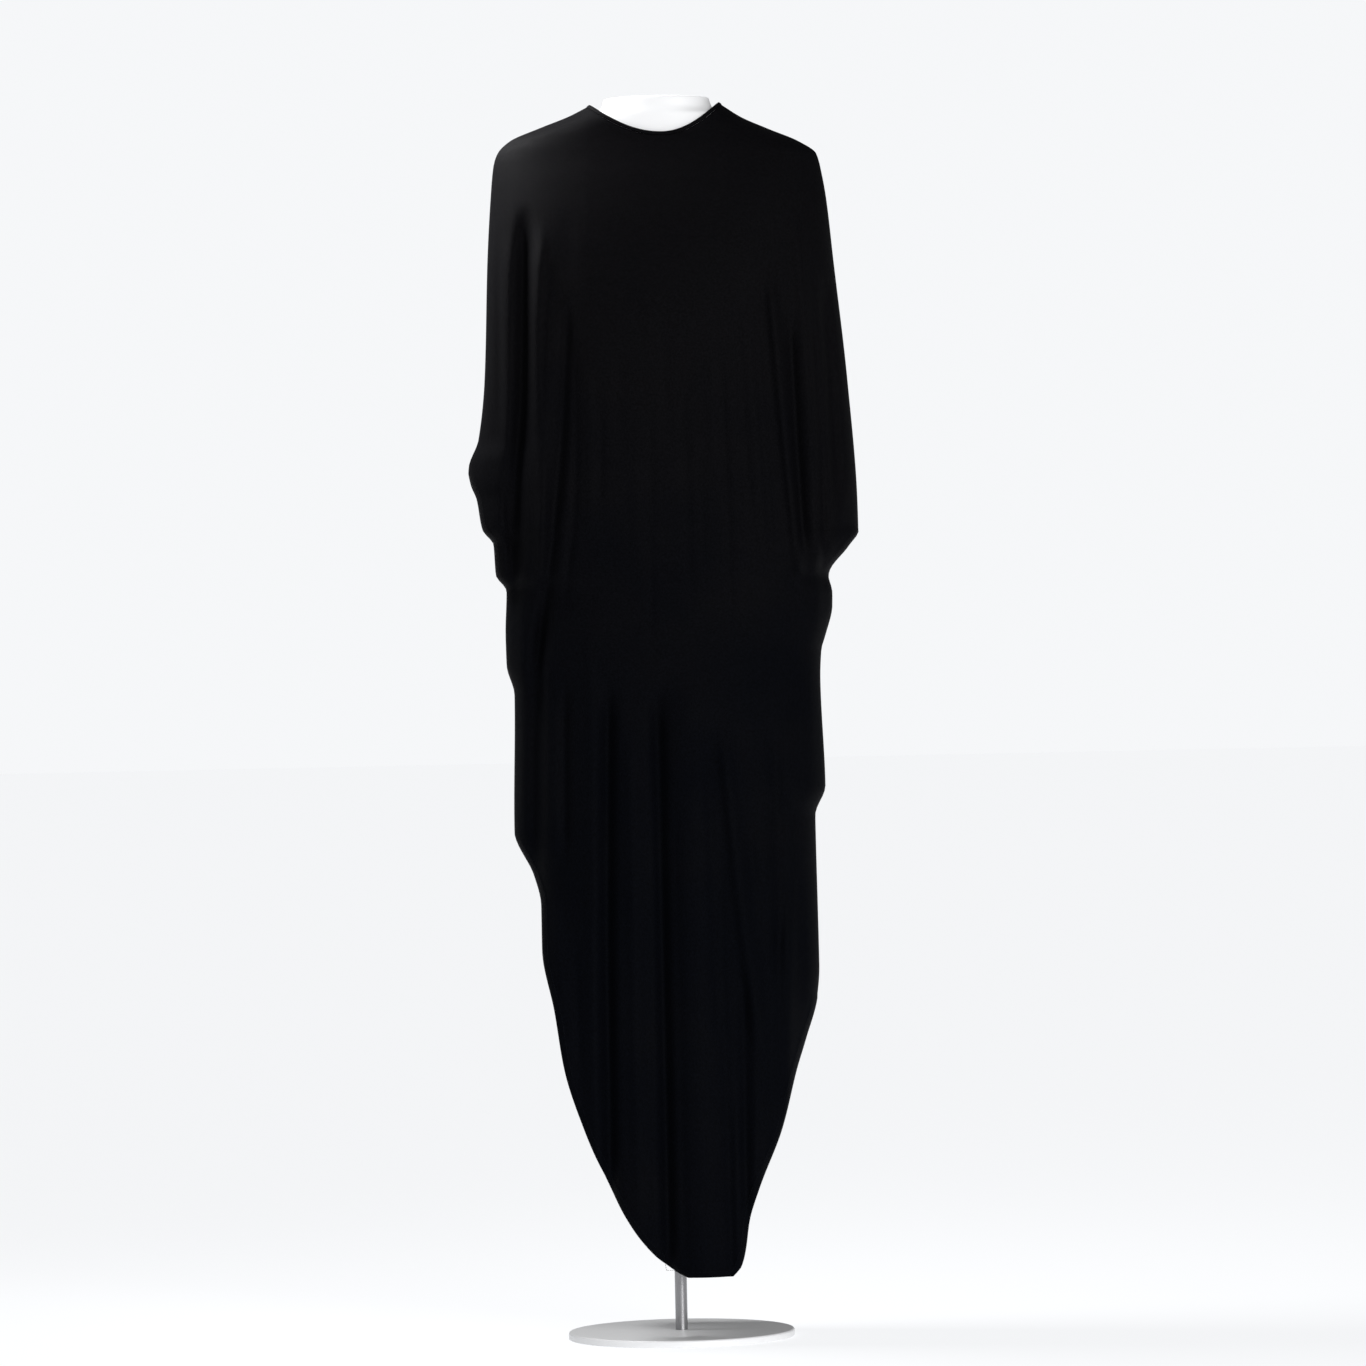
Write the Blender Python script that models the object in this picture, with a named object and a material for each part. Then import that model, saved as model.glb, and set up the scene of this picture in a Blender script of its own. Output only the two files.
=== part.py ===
"""Kaftan dress on a limbless dress form.

The kaftan is two cloth panels with the wide sleeves cut in one with them, and a narrow binding
round the neck. It hangs from the shoulders of a smooth form on a thin pole and a round base.
Metres, +Z up, the front faces -Y. The origin is on the floor, under the middle of the pole.
The tables are in millimetres. A drop is the distance below the neck points of the kaftan.
"""

import math
from collections import namedtuple

import bmesh
import bpy
from mathutils import Vector

MM = 0.001

# Heights above the floor and the stand
NECK_POINT_HEIGHT = 1527.0
BASE_RADIUS = 140.0
BASE_THICKNESS = 9.0
BASE_EDGE = 2.5
POLE_RADIUS = 7.5
POLE_SIDES = 20
BASE_SIDES = 64
PIECE_GAP = 0.3

# Cloth
WALL = 1.8
BINDING_HEIGHT = 4.7
BINDING_WALL = 2.8
NECK_MIDDLE_X = 6.0
NECK_LOW_DROP = {"front": 42.5, "back": 14.0}
NECK_POINT_DROP = 2.0
SIDES = ("left", "right")

# Fullness of a level section: 1 in the middle of the panel, 0 at its side edge
SECTION_FLATNESS = 2.4
SECTION_ROUNDNESS = 2.2
SEAM_HOLD = 10

# Outline from the front: half widths to the viewer's left and right of the pole, at each drop.
# First come the shoulder and the top of the sleeve, then the mouth of the cuff, the side and the hem.
Edge = namedtuple("Edge", "drop out")
OUTLINE = {
    "left": [Edge(*row) for row in (
        (2, 87.2), (13, 110), (27, 147.5), (41.5, 182.6), (56, 197.7), (71, 203), (113, 207.6),
        (187, 212.9), (336, 219.6), (410, 228.7), (447, 241.8), (466, 238.5), (484, 231.4),
        (522, 224.7), (541, 211.4), (578, 209.8), (597, 197.8), (653, 200.1), (690, 199.6),
        (727, 190.6), (894, 194.1), (951, 170.3), (987, 161.8), (1042, 161.1), (1115, 147.2),
        (1188, 136.3), (1262, 113.5), (1336, 81.9), (1374, 63), (1412, 35.6), (1437, 6.6), (1445, -9.1),
    )],
    "right": [Edge(*row) for row in (
        (2, 81), (18, 105.7), (33, 138.9), (49, 175.8), (64, 196.5), (87, 202.3), (121, 207.7),
        (196, 214.9), (345, 229.2), (494, 238.5), (531, 238.9), (550, 226.2), (586, 200.6),
        (608, 205.1), (624, 204.8), (661, 195.4), (679, 190), (716, 188), (847, 191.6),
        (884, 178.3), (1070, 179.4), (1107, 176.2), (1161, 160), (1197, 147.9), (1269, 127.3),
        (1340, 97.3), (1377, 85.5), (1414, 79.8), (1433, 74.4), (1445, 64.4),
    )],
}
SLEEVE_TOP_DROP = {"left": 71.0, "right": 87.0}

# The cuff is open from the wrist tip to the underarm end, and the hem is open below the side seam
CUFF = {"left": (447.0, 597.0), "right": (531.0, 586.0)}
CUFF_PARTING = 30.0
SEAM_END = {"left": 894.0, "right": 1107.0}
HEM_PARTING_LENGTH = 260.0
HEM_CURL = 0.12

# Middle line of the panels, which leans to the blunt tip of the hem
MIDDLE_LINE = ((0, 0), (1000, 4), (1250, 12), (1400, 31), (1445, 37))

# Depth from the pole's axis to the middle of the front and of the back
Depth = namedtuple("Depth", "drop front back")
DEPTHS = [Depth(*row) for row in (
    (2, 62, 62), (37, 66, 66), (60, 74, 74), (100, 92, 90), (150, 110, 103), (200, 121, 108),
    (260, 127, 108), (320, 126, 106), (450, 122, 104), (600, 119, 103), (900, 111, 98),
    (1100, 105, 94), (1300, 98, 89), (1445, 93, 85),
)]

# Largest folds. The path is (drop, x) down the fold. A ridge has a height above 0, a trough below.
Fold = namedtuple("Fold", "path height spread")
FOLD_FADE = 70.0
BELOW_HEM = 1560
FOLDS = {
    "front": [Fold(*row) for row in (
        (((230, -112), (415, -124.5), (612, -148), (720, -161)), -9, 8),
        (((140, -143), (310, -154), (500, -151), (600, -150)), 7, 9),
        (((120, -164), (355, -172), (480, -183), (640, -189)), -20, 10),
        (((590, -149), (696, -160), (951, -169), (1000, -170)), -16, 10),
        (((150, -187), (460, -192)), 7, 8),
        (((200, 133), (346, 143.6), (441, 151.6), (629, 170)), 6, 7),
        (((250, 157), (317, 159), (515, 166), (590, 168)), -10, 7),
        (((130, 168), (347, 181), (580, 186), (740, 187)), 8, 9),
        (((200, 203), (514, 215)), -20, 9),
        (((700, -73), (1124, -82), (BELOW_HEM, -84)), -14, 9),
        (((710, -13.5), (BELOW_HEM, -13.5)), -14, 9),
        (((700, 25), (BELOW_HEM, 30)), 9, 26),
        (((760, 64), (985, 84), (1180, 103)), 9, 9),
        (((1010, 104), (BELOW_HEM, 92)), 7, 9),
        (((690, -126), (784, -128), (960, -131)), -8, 8),
        (((980, 140), (BELOW_HEM, 133)), 8, 9),
        (((760, 128), (1100, 131)), -8, 11),
    )],
    "back": [Fold(*row) for row in (
        (((150, -150), (700, -158)), -13, 10),
        (((140, -174), (560, -181)), 8, 9),
        (((210, -196), (440, -206)), -14, 8),
        (((150, 146), (740, 153)), -14, 10),
        (((130, 169), (600, 179)), 8, 9),
        (((200, 193), (520, 207)), -16, 9),
        (((640, -60), (BELOW_HEM, -67)), -12, 10),
        (((690, 31), (BELOW_HEM, 36)), -13, 10),
        (((680, -14), (BELOW_HEM, -12)), 9, 22),
        (((720, 92), (1400, 99)), -10, 10),
        (((700, -110), (1280, -113)), 8, 12),
        (((740, 128), (1240, 131)), 7, 11),
    )],
}

# Grid of a panel: columns to the neck point, to the folds and to the edge, and rows down the panel
Band = namedtuple("Band", "end count")
FOLD_ZONE = 0.55
NECK_COLUMNS = 8
MIDDLE_COLUMNS = 2
SIDE_COLUMNS = 11
ROW_BANDS = [Band(*row) for row in (
    (1.2, 1), (4.5, 1), (10, 1), (20, 1), (40, 1), (70, 2), (130, 2), (200, 2), (410, 4), (447, 1),
    (484, 1), (531, 2), (550, 1), (597, 2), (661, 1), (727, 1), (894, 3), (951, 1), (1107, 2),
    (1262, 3), (1374, 3), (1445, 4),
)]
ROW_LEVELLING = 200.0

# The form: half width and depth at each drop, below shoulders that follow the kaftan's
Section = namedtuple("Section", "drop width front back")
SHOULDER_DROPS = (14, 20, 27, 34, 42, 50, 58)
FORM_NECK = [Section(*row) for row in (
    (-8, 61, 52, 52), (-7, 65, 56, 56), (-4, 66, 57, 57), (4, 69, 58, 58), (9, 76, 59, 59),
)]
FORM_TORSO = [Section(*row) for row in (
    (67, 191, 74, 73), (79, 192, 80, 78), (92, 189, 84, 81), (115, 179, 93, 88),
    (145, 163, 104, 95), (180, 151, 113, 99), (225, 148, 120, 98), (270, 150, 121, 94),
    (330, 138, 110, 86), (400, 122, 93, 78), (450, 118, 87, 77), (510, 132, 91, 86),
    (575, 151, 98, 94), (640, 161, 101, 97), (695, 159, 99, 94), (728, 150, 91, 86),
    (741, 128, 74, 70),
)]
FORM_SIDES = 36
FORM_DROP_CLEARANCE = 1.4
FORM_SIDE_CLEARANCE = 1.1
FORM_DEPTH_CLEARANCE = 3.2

# Colour, roughness and metallic value of each material
JERSEY_BLACK = ((0.012, 0.012, 0.015, 1.0), 0.9, 0.0)
FORM_WHITE = ((0.80, 0.80, 0.82, 1.0), 0.55, 0.0)
POLE_GREY = ((0.30, 0.30, 0.31, 1.0), 0.35, 0.9)
BASE_WHITE = ((0.78, 0.78, 0.79, 1.0), 0.45, 0.0)


def clear_scene():
    """Remove the objects that the file opens with."""
    for item in list(bpy.data.objects):
        bpy.data.objects.remove(item, do_unlink=True)


def curve_value(points, place):
    """Read a monotone smooth curve through (place, value) points."""
    if place <= points[0][0]:
        return points[0][1]
    if place >= points[-1][0]:
        return points[-1][1]
    index = 0
    while points[index + 1][0] < place:
        index += 1

    def slope(first):
        return (points[first + 1][1] - points[first][1]) / (points[first + 1][0] - points[first][0])

    def tangent(at):
        if at == 0 or at == len(points) - 1:
            return slope(min(at, len(points) - 2))
        before = slope(at - 1)
        after = slope(at)
        if before * after <= 0:
            return 0.0
        return 2 * before * after / (before + after)

    span = points[index + 1][0] - points[index][0]
    t = (place - points[index][0]) / span
    start = points[index][1]
    end = points[index + 1][1]
    return (
        start * (1 + 2 * t) * (1 - t) ** 2
        + end * t * t * (3 - 2 * t)
        + span * tangent(index) * t * (1 - t) ** 2
        - span * tangent(index + 1) * t * t * (1 - t)
    )


def smooth_step(t):
    """Rise softly from 0 to 1."""
    t = min(max(t, 0.0), 1.0)
    return t * t * (3 - 2 * t)


def side_of(x, middle):
    """Name the side of the middle line that x is on."""
    return "left" if x < middle else "right"


def side_sign(side):
    """Give the direction of a side along X."""
    return -1.0 if side == "left" else 1.0


def edge_x(side, drop):
    """Give the X of the panel's side edge at a drop."""
    return side_sign(side) * curve_value(OUTLINE[side], drop)


def shoulder_drop(side, out):
    """Give the drop of the shoulder line at a distance from the pole's axis."""
    low = OUTLINE[side][0].drop
    high = SLEEVE_TOP_DROP[side]
    if out >= curve_value(OUTLINE[side], high):
        return high
    for _ in range(40):
        middle = (low + high) / 2
        if curve_value(OUTLINE[side], middle) < out:
            low = middle
        else:
            high = middle
    return low


def top_drop(panel, x):
    """Give the drop of the panel's top edge: the neckline, or the shoulder line beyond it."""
    side = side_of(x, NECK_MIDDLE_X)
    neck_x = edge_x(side, NECK_POINT_DROP)
    if abs(x) >= abs(neck_x):
        return shoulder_drop(side, abs(x))
    reach = (x - NECK_MIDDLE_X) / (neck_x - NECK_MIDDLE_X)
    return NECK_POINT_DROP + (NECK_LOW_DROP[panel] - NECK_POINT_DROP) * (1 - reach * reach)


def fullness(share):
    """Give the share of the full depth at a share of the way to the side edge."""
    share = min(max(share, 0.0), 1.0)
    return (1 - share ** SECTION_FLATNESS) ** (1 / SECTION_ROUNDNESS)


def panel_depth(panel, drop):
    """Give the depth of the middle of a panel at a drop."""
    return curve_value([(row.drop, getattr(row, panel)) for row in DEPTHS], drop)


def edge_parting(panel, side, drop):
    """Give the distance from the middle plane to the panel's side edge: none along a seam."""
    first, last = CUFF[side]
    if first < drop < last:
        return CUFF_PARTING * math.sin(math.pi * (drop - first) / (last - first))
    opened = smooth_step((drop - SEAM_END[side]) / HEM_PARTING_LENGTH)
    return opened * (1 - HEM_CURL) * panel_depth(panel, drop)


def fold_height(panel, x, drop):
    """Add up the folds at a point: above 0 they stand out, below 0 they sink in."""
    total = 0.0
    for fold in FOLDS[panel]:
        start = fold.path[0][0]
        end = fold.path[-1][0]
        fade = smooth_step((drop - start) / FOLD_FADE) * smooth_step((end - drop) / FOLD_FADE)
        away = (x - curve_value(fold.path, drop)) / fold.spread
        total += fold.height * fade * math.exp(-away * away)
    return total


def cloth_point(panel, x, drop):
    """Give the point of the middle of the cloth at an X and a drop."""
    middle = curve_value(MIDDLE_LINE, drop)
    side = side_of(x, middle)
    share = min(abs((x - middle) / (edge_x(side, drop) - middle)), 1.0)
    parting = edge_parting(panel, side, drop)
    open_share = min(parting / CUFF_PARTING, 1.0)
    seam_hold = 1 - (1 - open_share) * share ** SEAM_HOLD
    depth = parting + (panel_depth(panel, drop) - parting) * fullness(share)
    depth += fold_height(panel, x, drop) * seam_hold + PIECE_GAP / 2
    toward = -1.0 if panel == "front" else 1.0
    return Vector((x, toward * depth, NECK_POINT_HEIGHT - drop)) * MM


def column_shares(side):
    """List the shares of the way from the middle line to the side edge, one for each column."""
    neck_share = edge_x(side, NECK_POINT_DROP) / edge_x(side, SLEEVE_TOP_DROP[side])
    steps = [step / NECK_COLUMNS for step in range(NECK_COLUMNS)]
    shares = [neck_share * (step + math.sin(math.pi / 2 * step)) / 2 for step in steps]
    width = FOLD_ZONE - neck_share
    shares += [neck_share + width * step / MIDDLE_COLUMNS for step in range(MIDDLE_COLUMNS)]
    width = 1 - FOLD_ZONE
    shares += [FOLD_ZONE + width * step / SIDE_COLUMNS for step in range(SIDE_COLUMNS + 1)]
    return shares


def row_levels():
    """List the drops of the rows, from the top edge down."""
    levels = [0.0]
    for band in ROW_BANDS:
        start = levels[-1]
        levels += [start + (band.end - start) * step / band.count for step in range(1, band.count + 1)]
    return levels


def levelled(level, top):
    """Give the drop of a row where the panel's top edge is at a drop: rows level out below it."""
    return level + top * max(1 - level / ROW_LEVELLING, 0.0)


def panel_grid(panel):
    """Give the rows of points of a panel and the columns of its two neck points."""
    left = [("left", share) for share in reversed(column_shares("left")[1:])]
    right = [("right", share) for share in column_shares("right")]
    grid = []
    for level in row_levels():
        row = []
        for side, share in left + right:
            end = edge_x(side, levelled(level, SLEEVE_TOP_DROP[side]))
            middle = curve_value(MIDDLE_LINE, level)
            x = middle + share * (end - middle)
            row.append(cloth_point(panel, x, levelled(level, top_drop(panel, x))))
        grid.append(row)
    last = len(left) + len(right) - 1
    reach = MIDDLE_COLUMNS + SIDE_COLUMNS
    return grid, (reach, last - reach)


def seam_point(grid, row, column, neck_columns):
    """Say whether a point lies on a shoulder, sleeve or side seam, where both panels meet."""
    if row == 0 and (column <= neck_columns[0] or column >= neck_columns[1]):
        return True
    if column not in (0, len(grid[0]) - 1):
        return False
    return abs(grid[row][column].y) < PIECE_GAP * MM


def grid_normals(panel, grid, neck_columns):
    """Give each point's outward normal. On a seam it stays in the plane that parts the panels."""
    rows = len(grid)
    columns = len(grid[0])
    outward = -1.0 if panel == "front" else 1.0
    normals = []
    for row in range(rows):
        line = []
        for column in range(columns):
            before = max(column - 1, 0)
            after = min(column + 1, columns - 1)
            if row == 0 and column == neck_columns[0]:
                after = column
            if row == 0 and column == neck_columns[1]:
                before = column
            across = grid[row][after] - grid[row][before]
            down = grid[min(row + 1, rows - 1)][column] - grid[max(row - 1, 0)][column]
            normal = across.cross(down) * outward
            if seam_point(grid, row, column, neck_columns):
                normal.y = 0.0
            line.append(normal.normalized())
        normals.append(line)
    return normals


def add_material(item, name, look):
    """Give an object its own Principled material."""
    colour, roughness, metallic = look
    material = bpy.data.materials.new(name)
    material.use_nodes = True
    shader = material.node_tree.nodes["Principled BSDF"]
    shader.inputs["Base Color"].default_value = colour
    shader.inputs["Roughness"].default_value = roughness
    shader.inputs["Metallic"].default_value = metallic
    material.diffuse_color = colour
    item.data.materials.append(material)


def add_object(name, mesh_builder, look, sharp_degrees=40):
    """Turn a bmesh into a named, smooth shaded object with faces out."""
    bmesh.ops.recalc_face_normals(mesh_builder, faces=mesh_builder.faces[:])
    bmesh.ops.triangulate(mesh_builder, faces=mesh_builder.faces[:])
    mesh = bpy.data.meshes.new(name)
    mesh_builder.to_mesh(mesh)
    mesh_builder.free()
    mesh.shade_smooth()
    mesh.set_sharp_from_angle(angle=math.radians(sharp_degrees))
    item = bpy.data.objects.new(name, mesh)
    bpy.context.scene.collection.objects.link(item)
    add_material(item, name + "_material", look)
    return item


def add_loft(mesh_builder, rings, closed_ring=False):
    """Join rings of points by quads. The ends are capped, or the last ring joins the first."""
    loops = [[mesh_builder.verts.new(point) for point in ring] for ring in rings]
    pairs = list(zip(loops, loops[1:]))
    if closed_ring:
        pairs.append((loops[-1], loops[0]))
    for first, second in pairs:
        for index in range(len(first)):
            after = (index + 1) % len(first)
            mesh_builder.faces.new((first[index], first[after], second[after], second[index]))
    if not closed_ring:
        mesh_builder.faces.new(loops[0])
        mesh_builder.faces.new(loops[-1])


def make_panel(panel):
    """Make a cloth panel: a thin wall round its grid, closed all along its edge."""
    grid, neck_columns = panel_grid(panel)
    normals = grid_normals(panel, grid, neck_columns)
    half = WALL * MM / 2
    rings = []
    for points, directions in zip(grid, normals):
        outer = [point + direction * half for point, direction in zip(points, directions)]
        inner = [point - direction * half for point, direction in zip(points, directions)]
        rings.append(outer + inner[::-1])
    mesh_builder = bmesh.new()
    loops = [[mesh_builder.verts.new(point) for point in ring] for ring in rings]
    for first, second in zip(loops, loops[1:]):
        for index in range(len(first)):
            after = (index + 1) % len(first)
            mesh_builder.faces.new((first[index], first[after], second[after], second[index]))
    for loop in (loops[0], loops[-1]):
        for index in range(len(loop) // 2 - 1):
            mesh_builder.faces.new((loop[index], loop[index + 1], loop[-index - 2], loop[-index - 1]))
    add_object(panel + "_panel", mesh_builder, JERSEY_BLACK, 60)


def neckline():
    """Give the points and outward normals of the ring that the two necklines make."""
    points = []
    normals = []
    for panel in ("front", "back"):
        grid, neck_columns = panel_grid(panel)
        directions = grid_normals(panel, grid, neck_columns)
        first, last = neck_columns
        columns = list(range(first, last + 1)) if panel == "front" else list(range(last - 1, first, -1))
        points += [grid[0][column] for column in columns]
        normals += [directions[0][column] for column in columns]
    return points, normals


def make_neck_binding():
    """Make the folded strip that finishes the neck, standing on the edges of both panels."""
    points, normals = neckline()
    count = len(points)
    half = BINDING_WALL * MM / 2
    low = PIECE_GAP * MM
    high = low + BINDING_HEIGHT * MM
    round_off = half / 2
    section = (
        (-half, low), (half, low), (half, high - round_off), (half - round_off, high),
        (round_off - half, high), (-half, high - round_off),
    )
    rings = []
    for index in range(count):
        along = points[(index + 1) % count] - points[index - 1]
        up = normals[index].cross(along).normalized()
        rings.append([points[index] + normals[index] * out + up * rise for out, rise in section])
    mesh_builder = bmesh.new()
    add_loft(mesh_builder, rings, closed_ring=True)
    add_object("neck_binding", mesh_builder, JERSEY_BLACK, 50)


def shoulder_section(drop):
    """Give the form's section at a drop where it carries the kaftan's shoulders."""
    widths = [curve_value(OUTLINE[side], drop - FORM_DROP_CLEARANCE) for side in SIDES]
    depths = [panel_depth(panel, drop) - FORM_DEPTH_CLEARANCE for panel in ("front", "back")]
    return Section(drop, min(widths) - FORM_SIDE_CLEARANCE, *depths)


def form_ring(section):
    """Give the points round a level section of the form."""
    ring = []
    for step in range(FORM_SIDES):
        turn = 2 * math.pi * step / FORM_SIDES
        share = math.cos(turn)
        depth = section.front if math.sin(turn) > 0 else section.back
        y = -math.copysign(depth * fullness(abs(share)), math.sin(turn))
        ring.append(Vector((section.width * share, y, NECK_POINT_HEIGHT - section.drop)) * MM)
    return ring


def make_form():
    """Make the smooth limbless form: neck, shoulders and torso in one piece."""
    sections = FORM_NECK + [shoulder_section(drop) for drop in SHOULDER_DROPS] + FORM_TORSO
    mesh_builder = bmesh.new()
    add_loft(mesh_builder, [form_ring(section) for section in sections])
    add_object("dress_form", mesh_builder, FORM_WHITE, 50)


def disc_ring(radius, height, sides):
    """Give the points of a level circle."""
    turns = [2 * math.pi * step / sides for step in range(sides)]
    return [Vector((radius * math.cos(turn), radius * math.sin(turn), height)) * MM for turn in turns]


def make_pole():
    """Make the pole from the base to the underside of the form."""
    foot = BASE_THICKNESS + PIECE_GAP
    head = NECK_POINT_HEIGHT - FORM_TORSO[-1].drop - PIECE_GAP
    mesh_builder = bmesh.new()
    add_loft(mesh_builder, [disc_ring(POLE_RADIUS, height, POLE_SIDES) for height in (foot, head)])
    add_object("pole", mesh_builder, POLE_GREY, 50)


def make_base():
    """Make the round base with its rounded upper edge."""
    profile = [(BASE_RADIUS, 0.0)]
    for step in range(4):
        turn = math.pi / 2 * step / 3
        radius = BASE_RADIUS - BASE_EDGE * (1 - math.cos(turn))
        profile.append((radius, BASE_THICKNESS - BASE_EDGE * (1 - math.sin(turn))))
    mesh_builder = bmesh.new()
    add_loft(mesh_builder, [disc_ring(radius, height, BASE_SIDES) for radius, height in profile])
    add_object("base", mesh_builder, BASE_WHITE, 50)


def main():
    """Build the whole part."""
    clear_scene()
    make_base()
    make_pole()
    make_form()
    make_panel("front")
    make_panel("back")
    make_neck_binding()


main()
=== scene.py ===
"""Looks of the kaftan dress on its dress form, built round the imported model.

The cloth panels are thin shells on the forms of their solids, with finer creases, turned hems,
stitching and a knitted surface. The stand's pieces are turned again with smooth, finished edges.
Tables are in millimetres. A drop is the distance below the neck points of the kaftan.
"""

import math
from collections import namedtuple

import bpy
import numpy as np
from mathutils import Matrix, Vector


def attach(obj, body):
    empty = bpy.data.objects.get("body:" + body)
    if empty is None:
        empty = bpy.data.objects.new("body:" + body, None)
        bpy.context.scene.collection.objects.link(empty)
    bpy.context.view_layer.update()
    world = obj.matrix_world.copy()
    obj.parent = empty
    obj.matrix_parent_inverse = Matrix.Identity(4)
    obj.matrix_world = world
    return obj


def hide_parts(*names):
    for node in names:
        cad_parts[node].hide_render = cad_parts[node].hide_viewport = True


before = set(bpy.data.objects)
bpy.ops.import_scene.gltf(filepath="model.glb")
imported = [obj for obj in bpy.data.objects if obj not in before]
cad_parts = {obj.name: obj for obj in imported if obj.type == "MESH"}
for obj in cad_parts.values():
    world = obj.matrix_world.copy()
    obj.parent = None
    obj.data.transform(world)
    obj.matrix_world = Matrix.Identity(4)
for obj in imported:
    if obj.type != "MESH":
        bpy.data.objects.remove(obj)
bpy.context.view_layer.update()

MM = 0.001

# Sizes that the solids were built with
NECK_POINT_HEIGHT = 1527.0
BASE_RADIUS = 140.0
BASE_THICKNESS = 9.0
BASE_EDGE = 2.5
BASE_LOWER_EDGE = 1.0
POLE_RADIUS = 7.5
PIECE_GAP = 0.3
NECK_MIDDLE_X = 6.0
NECK_LOW_DROP = {"front": 42.5, "back": 14.0}
NECK_POINT_DROP = 2.0
SECTION_FLATNESS = 2.4
SECTION_ROUNDNESS = 2.2
SEAM_HOLD = 10
SLEEVE_TOP_DROP = {"left": 71.0, "right": 87.0}
CUFF = {"left": (447.0, 597.0), "right": (531.0, 586.0)}
CUFF_PARTING = 30.0
SEAM_END = {"left": 894.0, "right": 1107.0}
HEM_DROP = 1445.0
HEM_PARTING_LENGTH = 260.0
HEM_CURL = 0.12
ROW_LEVELLING = 200.0
SIDES = ("left", "right")
SHOULDER_SAMPLES = 400

# Outline from the front: half widths to the viewer's left and right of the pole, at each drop
Edge = namedtuple("Edge", "drop out")
OUTLINE = {
    "left": [Edge(*row) for row in (
        (2, 87.2), (13, 110), (27, 147.5), (41.5, 182.6), (56, 197.7), (71, 203), (113, 207.6),
        (187, 212.9), (336, 219.6), (410, 228.7), (447, 241.8), (466, 238.5), (484, 231.4),
        (522, 224.7), (541, 211.4), (578, 209.8), (597, 197.8), (653, 200.1), (690, 199.6),
        (727, 190.6), (894, 194.1), (951, 170.3), (987, 161.8), (1042, 161.1), (1115, 147.2),
        (1188, 136.3), (1262, 113.5), (1336, 81.9), (1374, 63), (1412, 35.6), (1437, 6.6), (1445, -9.1),
    )],
    "right": [Edge(*row) for row in (
        (2, 81), (18, 105.7), (33, 138.9), (49, 175.8), (64, 196.5), (87, 202.3), (121, 207.7),
        (196, 214.9), (345, 229.2), (494, 238.5), (531, 238.9), (550, 226.2), (586, 200.6),
        (608, 205.1), (624, 204.8), (661, 195.4), (679, 190), (716, 188), (847, 191.6),
        (884, 178.3), (1070, 179.4), (1107, 176.2), (1161, 160), (1197, 147.9), (1269, 127.3),
        (1340, 97.3), (1377, 85.5), (1414, 79.8), (1433, 74.4), (1445, 64.4),
    )],
}
MIDDLE_LINE = ((0, 0), (1000, 4), (1250, 12), (1400, 31), (1445, 37))
Depth = namedtuple("Depth", "drop front back")
DEPTHS = [Depth(*row) for row in (
    (2, 62, 62), (37, 66, 66), (60, 74, 74), (100, 92, 90), (150, 110, 103), (200, 121, 108),
    (260, 127, 108), (320, 126, 106), (450, 122, 104), (600, 119, 103), (900, 111, 98),
    (1100, 105, 94), (1300, 98, 89), (1445, 93, 85),
)]

# Largest folds, as in the solids: path of (drop, x), height above or below the cloth, spread
Fold = namedtuple("Fold", "path height spread")
FOLD_FADE = 70.0
BELOW_HEM = 1560
FOLDS = {
    "front": [Fold(*row) for row in (
        (((230, -112), (415, -124.5), (612, -148), (720, -161)), -9, 8),
        (((140, -143), (310, -154), (500, -151), (600, -150)), 7, 9),
        (((120, -164), (355, -172), (480, -183), (640, -189)), -20, 10),
        (((590, -149), (696, -160), (951, -169), (1000, -170)), -16, 10),
        (((150, -187), (460, -192)), 7, 8),
        (((200, 133), (346, 143.6), (441, 151.6), (629, 170)), 6, 7),
        (((250, 157), (317, 159), (515, 166), (590, 168)), -10, 7),
        (((130, 168), (347, 181), (580, 186), (740, 187)), 8, 9),
        (((200, 203), (514, 215)), -20, 9),
        (((700, -73), (1124, -82), (BELOW_HEM, -84)), -14, 9),
        (((710, -13.5), (BELOW_HEM, -13.5)), -14, 9),
        (((700, 25), (BELOW_HEM, 30)), 9, 26),
        (((760, 64), (985, 84), (1180, 103)), 9, 9),
        (((1010, 104), (BELOW_HEM, 92)), 7, 9),
        (((690, -126), (784, -128), (960, -131)), -8, 8),
        (((980, 140), (BELOW_HEM, 133)), 8, 9),
        (((760, 128), (1100, 131)), -8, 11),
    )],
    "back": [Fold(*row) for row in (
        (((150, -150), (700, -158)), -13, 10),
        (((140, -174), (560, -181)), 8, 9),
        (((210, -196), (440, -206)), -14, 8),
        (((150, 146), (740, 153)), -14, 10),
        (((130, 169), (600, 179)), 8, 9),
        (((200, 193), (520, 207)), -16, 9),
        (((640, -60), (BELOW_HEM, -67)), -12, 10),
        (((690, 31), (BELOW_HEM, 36)), -13, 10),
        (((680, -14), (BELOW_HEM, -12)), 9, 22),
        (((720, 92), (1400, 99)), -10, 10),
        (((700, -110), (1280, -113)), 8, 12),
        (((740, 128), (1240, 131)), 7, 11),
    )],
}

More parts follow.
